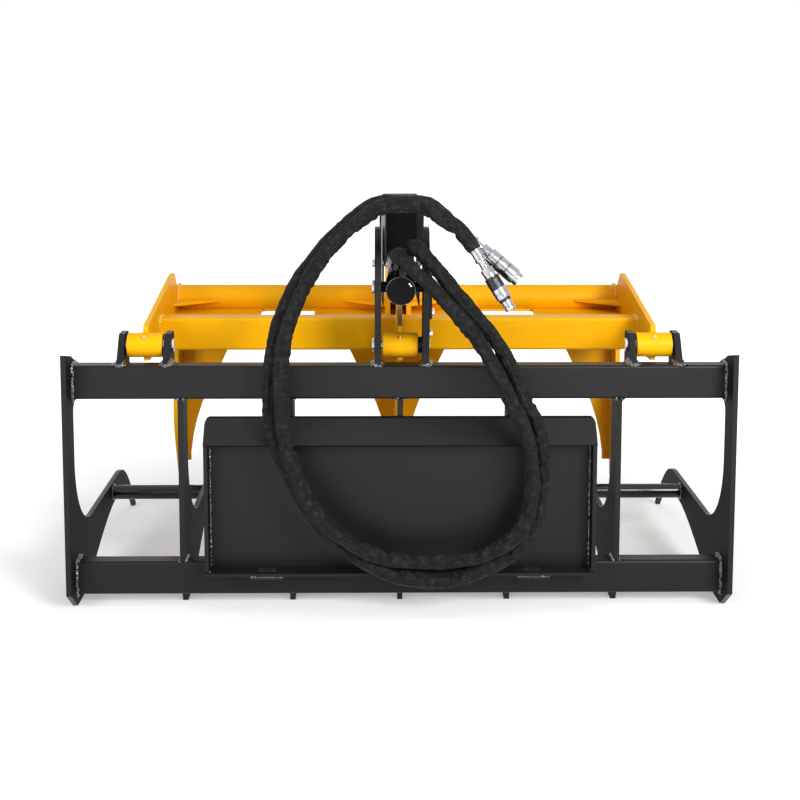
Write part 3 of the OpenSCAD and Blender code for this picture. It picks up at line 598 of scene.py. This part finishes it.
def ferrule(shell, origin, axis, radius):
    """A crimped hose ferrule: flats pressed by the crimping dies between two plain bands."""
    pressed_from, pressed_to = 5.5, 31.5
    profile = [(-3, 0.86), (-2.5, 0.97), (-1.5, 1), (5, 1), (6, 0.93), (11, 0.92), (16, 0.92), (21, 0.92),
               (26, 0.92), (31, 0.93), (32, 1), (38, 1), (39.5, 0.96), (40, 0.86)]

    def dies(along, a):
        pressed = pressed_from < along < pressed_to
        return 1 - (0.03 * abs(math.sin(5 * a)) if pressed else 0)

    turned(shell, origin, axis, [(s, r * radius) for s, r in profile], 80, dies)


def knurl(along, a):
    """Diamond knurling on a sleeve."""
    lines = math.sin(26 * a + along * 1.4) * math.sin(26 * a - along * 1.4)
    return 1 + 0.012 * lines


def plug_end(body, dark, start, axis):
    """The plug's neck, its dark knurled ring, a grooved barrel, a dark ring and the grooved nose, with a dark
    cone of painted shade in its mouth.
    """
    turned(body, start, axis, [(80, 13), (81, 16.5), (82, 18), (90, 18), (91, 17), (93, 17)])
    turned(dark, start, axis, [(92, 18), (92.6, 21), (94, 22), (97, 22), (98, 21.3)])
    turned(dark, start, axis, [(97.5, 20), (98, 21.4)] + [(s, 21.6) for s in range(99, 128)]
           + [(128.5, 21.4), (129, 20)], 208, knurl)
    turned(body, start, axis, [(128, 18), (128.5, 21), (130, 22), (143, 22), (144, 21), (146, 21),
                               (147, 22), (159, 22), (161, 21.4), (162, 20), (162.3, 16)])
    turned(dark, start, axis, [(161, 15), (162.2, 17.6), (163, 18), (169, 18), (170, 17), (170.3, 15)])
    turned(body, start, axis, [(168, 14), (170.4, 15.7), (183, 15.7), (184.5, 14), (188, 14),
                               (189.5, 15.7), (197, 15.7), (199, 15.1), (200, 13.6), (199.9, 11.5),
                               (196, 11), (195.5, 9)])
    # Painted shade: the dark cone inside the nose's mouth.
    turned(dark, start, axis, [(195, 10.8), (196.2, 10.6), (197.8, 7), (198.3, 3)], 40)


def socket_end(body, dark, start, axis):
    """The socket's grooved body with its open mouth; the dark rings in the grooves and the dark valve inside
    are painted shade.
    """
    turned(body, start, axis, [(80, 13), (81, 17), (82, 20), (86, 20), (87, 17.5), (90, 17.5),
                               (91, 20), (92, 22.6), (94, 24), (122, 24), (123, 23), (125, 23),
                               (126, 24), (154, 24), (155, 23), (157, 23), (158, 24), (184, 24),
                               (187, 23.4), (190, 21), (191, 20), (202, 20), (204.4, 19), (205, 17.6),
                               (205, 15.8), (185.6, 15.8), (185.3, 3)], 80)
    # Painted shade: dark rings down in the grooves.
    for groove in (122, 154):
        turned(dark, start, axis, [(groove + 0.6, 22.9), (groove + 1.2, 23.3), (groove + 2.8, 23.3),
                                   (groove + 3.4, 22.9)])
    # Painted shade: the dark valve inside the mouth.
    turned(dark, start, axis, [(185.2, 12), (186, 11.8), (193, 9), (194, 5)], 40)


def quick_coupler(name, line, node_name, far_half):
    """A ferrule, a swivel stem and a hexagon, with a plug's or a socket's half beyond them."""
    axis = (line[-1] - line[-2]).normalized()
    start = line[-1] - axis * (BARE_STEPS * HOSE_STEP)
    body, dark = Shell(), Shell()
    ferrule(body, start, axis, 16.5)
    turned(body, start, axis, [(38, 11), (39, 12), (44, 12), (45, 11.4), (47, 11.4), (48, 12), (64, 12),
                               (66, 11)], 40)
    hexagon(body, start, axis, 64, 82, 33)
    far_half(body, dark, start, axis)
    obj = add_object(name, body, COUPLER_STEEL, "frame", sharp=32)
    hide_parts(node_name)
    # The dark trims: a darker steel, and painted shade in the grooves and mouths.
    trim = add_object(name + "_trim", dark, DARK_STEEL_AND_SHADE, "frame", sharp=60)
    return [obj, trim]


def hose_elbow(name, line, node_name):
    """A forged elbow between the port and the hose: stem, nut, bend and a grooved collar."""
    corner_back = 21
    pipe_radius = 10.5
    low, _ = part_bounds(node_name)
    back = (line[0] - line[1]).normalized()
    corner = line[0] + back * corner_back * MM
    foot = Vector((corner.x, corner.y, low.z))
    stem = (corner.z - foot.z) / MM
    shell = Shell()
    turned(shell, foot, UP, [(0, 9.5), (1, pipe_radius), (9, pipe_radius)], 32)
    hexagon(shell, foot, UP, 8, 21, 24)
    turned(shell, foot, UP, [(20, 9), (stem - 10, 9)], 32)
    curve = [foot + UP * (stem - 12) * MM]
    start, end = foot + UP * (stem - 11) * MM, corner - back * 12 * MM
    steps = 8
    for i in range(steps + 1):
        t = i / steps
        curve.append(start * (1 - t) ** 2 + 2 * corner * t * (1 - t) + end * t * t)
    curve.append(corner - back * 14 * MM)
    shell.rings([ring(p, u, v, pipe_radius * MM, 24) for p, (_, u, v) in zip(curve, carried_frames(curve))])
    turned(shell, line[0], back, [(0, 15), (1, 16), (3, 16), (3.6, 14.6), (6, 14.6), (6.6, 16), (9, 16),
                                  (10, 13)], 40)
    # The elbows are zinc steel; their gloss black is painted shade for the dark under the guard.
    obj = add_object(name, shell, GLOSS_BLACK, "frame", sharp=32)
    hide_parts(node_name)


hose_a, line_a = sleeved_hose("hose_sleeve_a", ROUTE_A, seed=1.7)
hose_b, line_b = sleeved_hose("hose_sleeve_b", ROUTE_B, seed=5.3)
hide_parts("hose_a")
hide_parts("hose_b")
ends_a = quick_coupler("coupler_plug_a", line_a, "quick_coupler_a", plug_end)
ends_b = quick_coupler("coupler_socket_b", line_b, "quick_coupler_b", socket_end)
hose_elbow("elbow_a", line_a, "hose_elbow_a")
hose_elbow("elbow_b", line_b, "hose_elbow_b")


# Weld beads

# Radii of plain and heavy beads on the frame, and of those on the jaw, its front pipe and the cylinder's cap
BEAD, HEAVY, JAW_BEAD, PIPE_BEAD = 5.0 * MM, 8.0 * MM, 4.0 * MM, 6.5 * MM
CAP_BEAD = 1.3 * MM
BEAD_STEP = 2.0 * MM
BEAD_SIDES = 8


class Beads(Shell):
    """Rippled weld beads laid along inside corners."""

    def lay(self, points, radius, closed=False):
        """A bead of that radius through the points, in metres."""
        if closed:
            points = [*points, points[0]]
        line = []
        for a, b in zip(points, points[1:]):
            count = max(1, round((b - a).length / BEAD_STEP))
            line += [a.lerp(b, i / count) for i in range(count)]
        if not closed:
            line.append(points[-1])
        rings = []
        for i, (p, (_, u, v)) in enumerate(zip(line, carried_frames(line))):
            ripple = (i % 3) / 3
            size = radius * (0.82 + 0.26 * ripple + 0.30 * noise.noise(p * 70))
            shift = (u * noise.noise(p * 60 + Vector((3, 0, 0))) + v * noise.noise(p * 60)) * radius * 0.35
            rings.append(ring(p + shift, u, v, size, BEAD_SIDES))
        self.rings(rings, closed)

    def fillet(self, x, side, z, rise, y0, y1, size):
        """A heaped weld in the corner between a plate's face at x and a level face at z, in millimetres.
        side and rise are 1 or -1: the way the weld goes from x, and from z."""
        count = max(4, round((y1 - y0) / 3))
        rings = []
        for i in range(count + 1):
            y = y0 + (y1 - y0) * i / count
            heap = 0.9 + 0.3 * noise.noise(Vector((x * 0.05, y * 0.2, z * 0.05)))
            full = size * (0.45 if i in (0, count) else heap)
            points = []
            for out, up in ((-1, -1), (full, -1), (0.62 * full, 0.26 * full), (0.36 * full, 0.42 * full),
                            (0.18 * full, 0.70 * full), (-1, full)):
                rough = noise.noise(Vector((x + out, y, z + up)) * 0.21) * 0.10 * size
                reach = out + (rough if out > 0 else 0)
                points.append(at(x + side * reach, y, z + rise * (up + rough * 0.5)))
            rings.append(points if side * rise < 0 else points[::-1])
        self.rings(rings)

    def circle(self, x, y, z, r, radius, start=0, end=360):
        """A bead round a bar or tube that crosses a plate, in the plane X = x. Angles run from +Y to +Z."""
        closed = end - start >= 360
        steps = 40
        points = []
        for i in range(steps if closed else steps + 1):
            a = math.radians(start + (end - start) * i / steps)
            points.append(at(x, y + r * math.cos(a), z + r * math.sin(a)))
        self.lay(points, radius, closed)


class Round:
    """A bar or tube that runs from left to right: its centre and radius in the part's millimetres."""

    def __init__(self, name):
        box = part_box(name)
        self.y, self.z = (box.y0 + box.y1) / 2, (box.z0 + box.z1) / 2
        self.r = (box.y1 - box.y0) / 2


def side_faces(box):
    """The X of a box's left and right faces, each with the way it faces."""
    return (box.x0, -1), (box.x1, 1)


top, bottom = part_box("top_tube"), part_box("bottom_tube")
REAR, FRONT = top.y0, top.y1
TINES = [part_box(f"tine_{i}") for i in range(1, 8)]


def weld_tube_ends(beads, tube):
    """Right round a tube's two ends, where they meet the end plates."""
    for x, way in side_faces(tube):
        beads.lay([at(x, tube.y0 + 4, tube.z0), at(x, tube.y1 - 4, tube.z0), at(x, tube.y1, tube.z0 + 5),
                   at(x, tube.y1, tube.z1 - 5), at(x, tube.y1 - 4, tube.z1), at(x, tube.y0 + 4, tube.z1),
                   at(x, tube.y0, tube.z1 - 5), at(x, tube.y0, tube.z0 + 5)], HEAVY, closed=True)
        beads.fillet(x, -way, tube.z0, -1, tube.y0 - 2, tube.y1 - 4, size=12)
        beads.fillet(x, -way, tube.z1, 1, tube.y0 - 2, tube.y1 - 4, size=11)


def weld_inner_tine(beads, tine):
    """Where a tine meets the undersides, tops and fronts of the two tubes."""
    for x, way in side_faces(tine):
        beads.lay([at(x, REAR + 2, top.z0), at(x, FRONT - 2, top.z0)], BEAD)
        beads.fillet(x, way, top.z0, -1, REAR - 1, FRONT - 4, size=10)
        beads.fillet(x, way, bottom.z1, 1, REAR - 1, FRONT - 4, size=8)
        beads.lay([at(x, FRONT, top.z0 + 6), at(x, FRONT, top.z1 - 22)], BEAD)
        beads.lay([at(x, REAR + 2, bottom.z1), at(x, FRONT - 2, bottom.z1)], BEAD)
        beads.lay([at(x, FRONT, bottom.z0 + 6), at(x, FRONT, bottom.z1 - 6)], BEAD)


def weld_upright(beads, plate):
    """Where an ear or a mast stands on the top tube and laps over its front."""
    for x, way in side_faces(plate):
        beads.fillet(x, way, top.z1, 1, REAR, FRONT - 3, size=16)
        beads.lay([at(x, FRONT, plate.z0 + 4), at(x, FRONT, top.z1 - 6)], BEAD)
    beads.lay([at(plate.x0 - 3, REAR + 3, top.z1), at(plate.x1 + 3, REAR + 3, top.z1)], HEAVY)
    beads.lay([at(plate.x0 + 1, FRONT, plate.z0), at(plate.x1 - 1, FRONT, plate.z0)], BEAD)


def weld_coupler(beads):
    """The cheeks to the coupler's sheet, the flange's ends, and stitches between the sheet and the tines."""
    sheet_thickness = 9.5
    slant_drop = 66
    stitch, stitch_pitch = 45, 110
    stitch_lowest, stitch_highest = 170, 500
    flange_rear, flange_front = 12, 60
    sheet = part_box("coupler_plate")
    flange_top = sheet.z0 + sheet_thickness
    sheet_rear = sheet.y1 - sheet_thickness
    left, right = part_box("coupler_cheek_left"), part_box("coupler_cheek_right")
    for cheek, x in ((left, left.x1), (right, right.x0)):
        beads.lay([at(x, 10, flange_top), at(x, sheet_rear, flange_top), at(x, sheet_rear, cheek.z1 - 4),
                   at(x, cheek.y0 + 4, cheek.z1 - slant_drop)], BEAD)
    for x, _ in side_faces(sheet):
        beads.lay([at(x, flange_rear, flange_top - 4), at(x, flange_front, flange_top - 4)], BEAD * 0.7)
    for tine in TINES[2:5]:
        for x, _ in side_faces(tine):
            for z in range(stitch_lowest, stitch_highest + 1, stitch_pitch):
                beads.lay([at(x, REAR, z), at(x, REAR, z + stitch)], BEAD)


def weld_tabs(beads):
    """The two lock tabs under the flange: their side edges, then their rear edges."""
    tab_width = 96
    tabs = part_box("lock_pin_tabs")
    left, right = (tabs.x0, tabs.x0 + tab_width), (tabs.x1 - tab_width, tabs.x1)
    for x in (*left, *right):
        beads.lay([at(x, tabs.y0 + 2, tabs.z1), at(x, tabs.y1 - 2, tabs.z1)], BEAD * 0.8)
    for x0, x1 in (left, right):
        beads.lay([at(x0, tabs.y0, tabs.z1), at(x1, tabs.y0, tabs.z1)], BEAD * 0.8)


frame_beads = Beads()
for tube in (top, bottom):
    weld_tube_ends(frame_beads, tube)
for tine in TINES[1:-1]:
    weld_inner_tine(frame_beads, tine)
crossbar = Round("front_crossbar")
for tine in TINES:
    for x, _ in side_faces(tine):
        # The crossbar ends at the end plates, like the tubes, so their outer faces have no weld.
        if top.x0 - 1 < x < top.x1 + 1:
            frame_beads.circle(x, crossbar.y, crossbar.z, crossbar.r, BEAD)
for name in ("ear_left_outer", "ear_left_inner", "ear_right_inner", "ear_right_outer",
             "mast_left", "mast_right"):
    weld_upright(frame_beads, part_box(name))
weld_coupler(frame_beads)
weld_tabs(frame_beads)
add_object("frame_welds", frame_beads, WELD_BLACK, "frame")

jaw_tube = part_box("jaw_rear_tube")
pipe = Round("jaw_front_pipe")
hinge = Round("hinge_tube_centre")
deck_top = part_box("deck_right").z1


def weld_arm(beads, arm):
    """Where an arm meets its hinge tube, the jaw's rear tube, the front pipe and the deck."""
    for x, _ in side_faces(arm):
        beads.circle(x, hinge.y, hinge.z, hinge.r, JAW_BEAD, start=-80, end=88)
        # The side arms' outer faces lie past the rear tube's ends.
        if abs(x) > jaw_tube.x1 + 1:
            continue
        beads.lay([at(x, jaw_tube.y0, jaw_tube.z0 + 6), at(x, jaw_tube.y0, jaw_tube.z1 - 6),
                   at(x, jaw_tube.y0 + 6, jaw_tube.z1), at(x, jaw_tube.y1 - 6, jaw_tube.z1),
                   at(x, jaw_tube.y1, jaw_tube.z1 - 6), at(x, jaw_tube.y1, deck_top)], JAW_BEAD)
        beads.circle(x, pipe.y, pipe.z, pipe.r, PIPE_BEAD, start=20, end=215)
        beads.lay([at(x, jaw_tube.y1 + 2, deck_top), at(x, pipe.y - 38, deck_top)], JAW_BEAD)


def weld_face_plate(beads, arm, plate):
    for x, _ in side_faces(arm):
        beads.lay([at(x, plate.y0, plate.z0 + 12), at(x, plate.y0, plate.z1 - 60)], JAW_BEAD)


def weld_lug(beads, lug):
    """Where a rod lug stands on the deck and on the front pipe."""
    for x, _ in side_faces(lug):
        beads.lay([at(x, lug.y0 + 4, deck_top), at(x, pipe.y - 36, deck_top)], JAW_BEAD)
        beads.circle(x, pipe.y, pipe.z, pipe.r, JAW_BEAD, start=92, end=205)


jaw_beads = Beads()
for place in ("left", "centre", "right"):
    weld_arm(jaw_beads, part_box("jaw_arm_" + place))
for place in ("left", "centre", "right"):
    weld_face_plate(jaw_beads, part_box("jaw_arm_" + place), part_box("face_plate_" + place))
for place in ("left", "right"):
    weld_lug(jaw_beads, part_box("rod_lug_" + place))
add_object("jaw_welds", jaw_beads, WELD_YELLOW, "upper_jaw")


# Grease nipples on the hinge tubes

# From +Y to +Z round the hinge
NIPPLE_ANGLE = math.radians(137)


def grease_nipple(name, x):
    shell = Shell()
    out = Vector((0, math.cos(NIPPLE_ANGLE), math.sin(NIPPLE_ANGLE)))
    origin = at(x, hinge.y + out.y * hinge.r, hinge.z + out.z * hinge.r)
    hexagon(shell, origin, out, -1, 4.5, 9)
    turned(shell, origin, out, [(4, 3.6), (7, 2.6), (9, 2.4), (10, 3.2), (11.5, 3.2), (13, 1.8)], 20)
    add_object(name, shell, ZINC, "upper_jaw", sharp=35)


right_hinge = part_box("hinge_tube_right")
right_mid = (right_hinge.x0 + right_hinge.x1) / 2
for name, x in (("nipple_left", -right_mid), ("nipple_centre", 0), ("nipple_right", right_mid)):
    grease_nipple(name, x)


# The end face of the cylinder's cap: two plugs, and the weld round its rim

CAP_TILT = math.radians(5)
# Height of the cylinder's axis at the end face
CAP_AXIS_Z = 969.5
# How far the plugs and the weld lie in front of the face's rearmost point, and their circles' radii
PLUG_SET_IN, RIM_SET_IN = 1.8, 3.9
PLUG_CIRCLE, RIM_CIRCLE = 33, 42
PLUG_ANGLES = (28, 40)
RIM_POINTS = 60
cap = part_box("cylinder_base_cap")
cap_axis = Vector((0, math.cos(CAP_TILT), math.sin(CAP_TILT)))
cap_up = Vector((0, -cap_axis.z, cap_axis.y))
plugs = Shell()
for angle in PLUG_ANGLES:
    a = math.radians(angle)
    out = Vector((math.cos(a), 0, math.sin(a)))
    turned(plugs, at(0, cap.y0 + PLUG_SET_IN, CAP_AXIS_Z) + out * PLUG_CIRCLE * MM, -cap_axis,
           [(-4, 3.4), (0.8, 3.4), (1.6, 2.6)], 20)
add_object("cap_plugs", plugs, ZINC, "cylinder_barrel", sharp=35)
rim = Beads()
rim_mid = at(0, cap.y0 + RIM_SET_IN, CAP_AXIS_Z)
rim.lay(ring(rim_mid, Vector((1, 0, 0)), cap_up, RIM_CIRCLE * MM, RIM_POINTS), CAP_BEAD, closed=True)
add_object("cap_weld", rim, WELD_BLACK, "cylinder_barrel")


# Floor, world and lamps

FLOOR_HALF = 40
# The white that the camera sees on the floor: within the near distance, where the object's shadow
# falls, and past the far one, in metres from the middle
GLOW_NEAR, GLOW_FAR = 0.30, 0.90
NEAR, FAR = 1.1, 2.4
WORLD_LIGHT = 0.36


def background_rays(tree):
    """1 for the rays that show the background: from the camera, off metal and through glass."""
    path = node(tree, "ShaderNodeLightPath")
    seen = larger(tree, path.outputs["Is Camera Ray"], path.outputs["Is Glossy Ray"])
    return larger(tree, seen, path.outputs["Is Transmission Ray"])


def floor_material():
    """A pale matte floor. Background rays see plain white on it, and less of that near the object."""
    mat = bpy.data.materials.new("floor")
    mat.use_nodes = True
    tree = mat.node_tree
    tree.nodes.clear()
    matte = node(tree, "ShaderNodeBsdfDiffuse", {"Color": (0.86, 0.86, 0.86, 1)})
    place = node(tree, "ShaderNodeTexCoord")
    away = node(tree, "ShaderNodeVectorMath", operation="LENGTH")
    tree.links.new(place.outputs["Object"], away.inputs[0])
    power = node(tree, "ShaderNodeMath", operation="MULTIPLY")
    tree.links.new(background_rays(tree), power.inputs[0])
    tree.links.new(spread(tree, away.outputs["Value"], GLOW_NEAR, GLOW_FAR, NEAR, FAR), power.inputs[1])
    glow = node(tree, "ShaderNodeEmission", {"Color": (1, 1, 1, 1)})
    tree.links.new(power.outputs["Value"], glow.inputs["Strength"])
    total = node(tree, "ShaderNodeAddShader")
    tree.links.new(matte.outputs["BSDF"], total.inputs[0])
    tree.links.new(glow.outputs["Emission"], total.inputs[1])
    out = node(tree, "ShaderNodeOutputMaterial")
    tree.links.new(total.outputs["Shader"], out.inputs["Surface"])
    return mat


def white_world():
    """A white background that lights the object only softly."""
    world = bpy.data.worlds.new("studio")
    world.use_nodes = True
    tree = world.node_tree
    back = tree.nodes["Background"]
    back.inputs["Color"].default_value = (1, 1, 1, 1)
    power = node(tree, "ShaderNodeMix", {"A": WORLD_LIGHT, "B": 1.0}, data_type="FLOAT")
    tree.links.new(background_rays(tree), power.inputs["Factor"])
    tree.links.new(power.outputs["Result"], back.inputs["Strength"])
    return world


def lamp(name, place, target, size, watts):
    data = bpy.data.lights.new(name, "AREA")
    data.shape = "SQUARE"
    data.size = size
    data.energy = watts
    obj = bpy.data.objects.new(name, data)
    obj.location = place
    obj.rotation_mode = "QUATERNION"
    obj.rotation_quaternion = (Vector(target) - Vector(place)).to_track_quat("-Z", "Y")
    bpy.context.scene.collection.objects.link(obj)


FLOOR_CORNERS = [(-FLOOR_HALF, -FLOOR_HALF), (FLOOR_HALF, -FLOOR_HALF), (FLOOR_HALF, FLOOR_HALF),
                 (-FLOOR_HALF, FLOOR_HALF)]
floor_mesh = bpy.data.meshes.new("floor")
floor_mesh.from_pydata([(x, y, 0) for x, y in FLOOR_CORNERS], [], [(0, 1, 2, 3)])
floor_mesh.materials.append(floor_material())
floor = bpy.data.objects.new("floor", floor_mesh)
bpy.context.scene.collection.objects.link(floor)
bpy.context.scene.world = white_world()
lamp("key", place=(2.7, -5.0, 3.0), target=(0, 0, 0.6), size=2.0, watts=305)
lamp("overhead", place=(0.3, -1.6, 5.2), target=(0, 0, 0.4), size=2.6, watts=32)
lamp("left_fill", place=(-3.6, -4.4, 2.4), target=(0, 0, 0.6), size=2.0, watts=120)
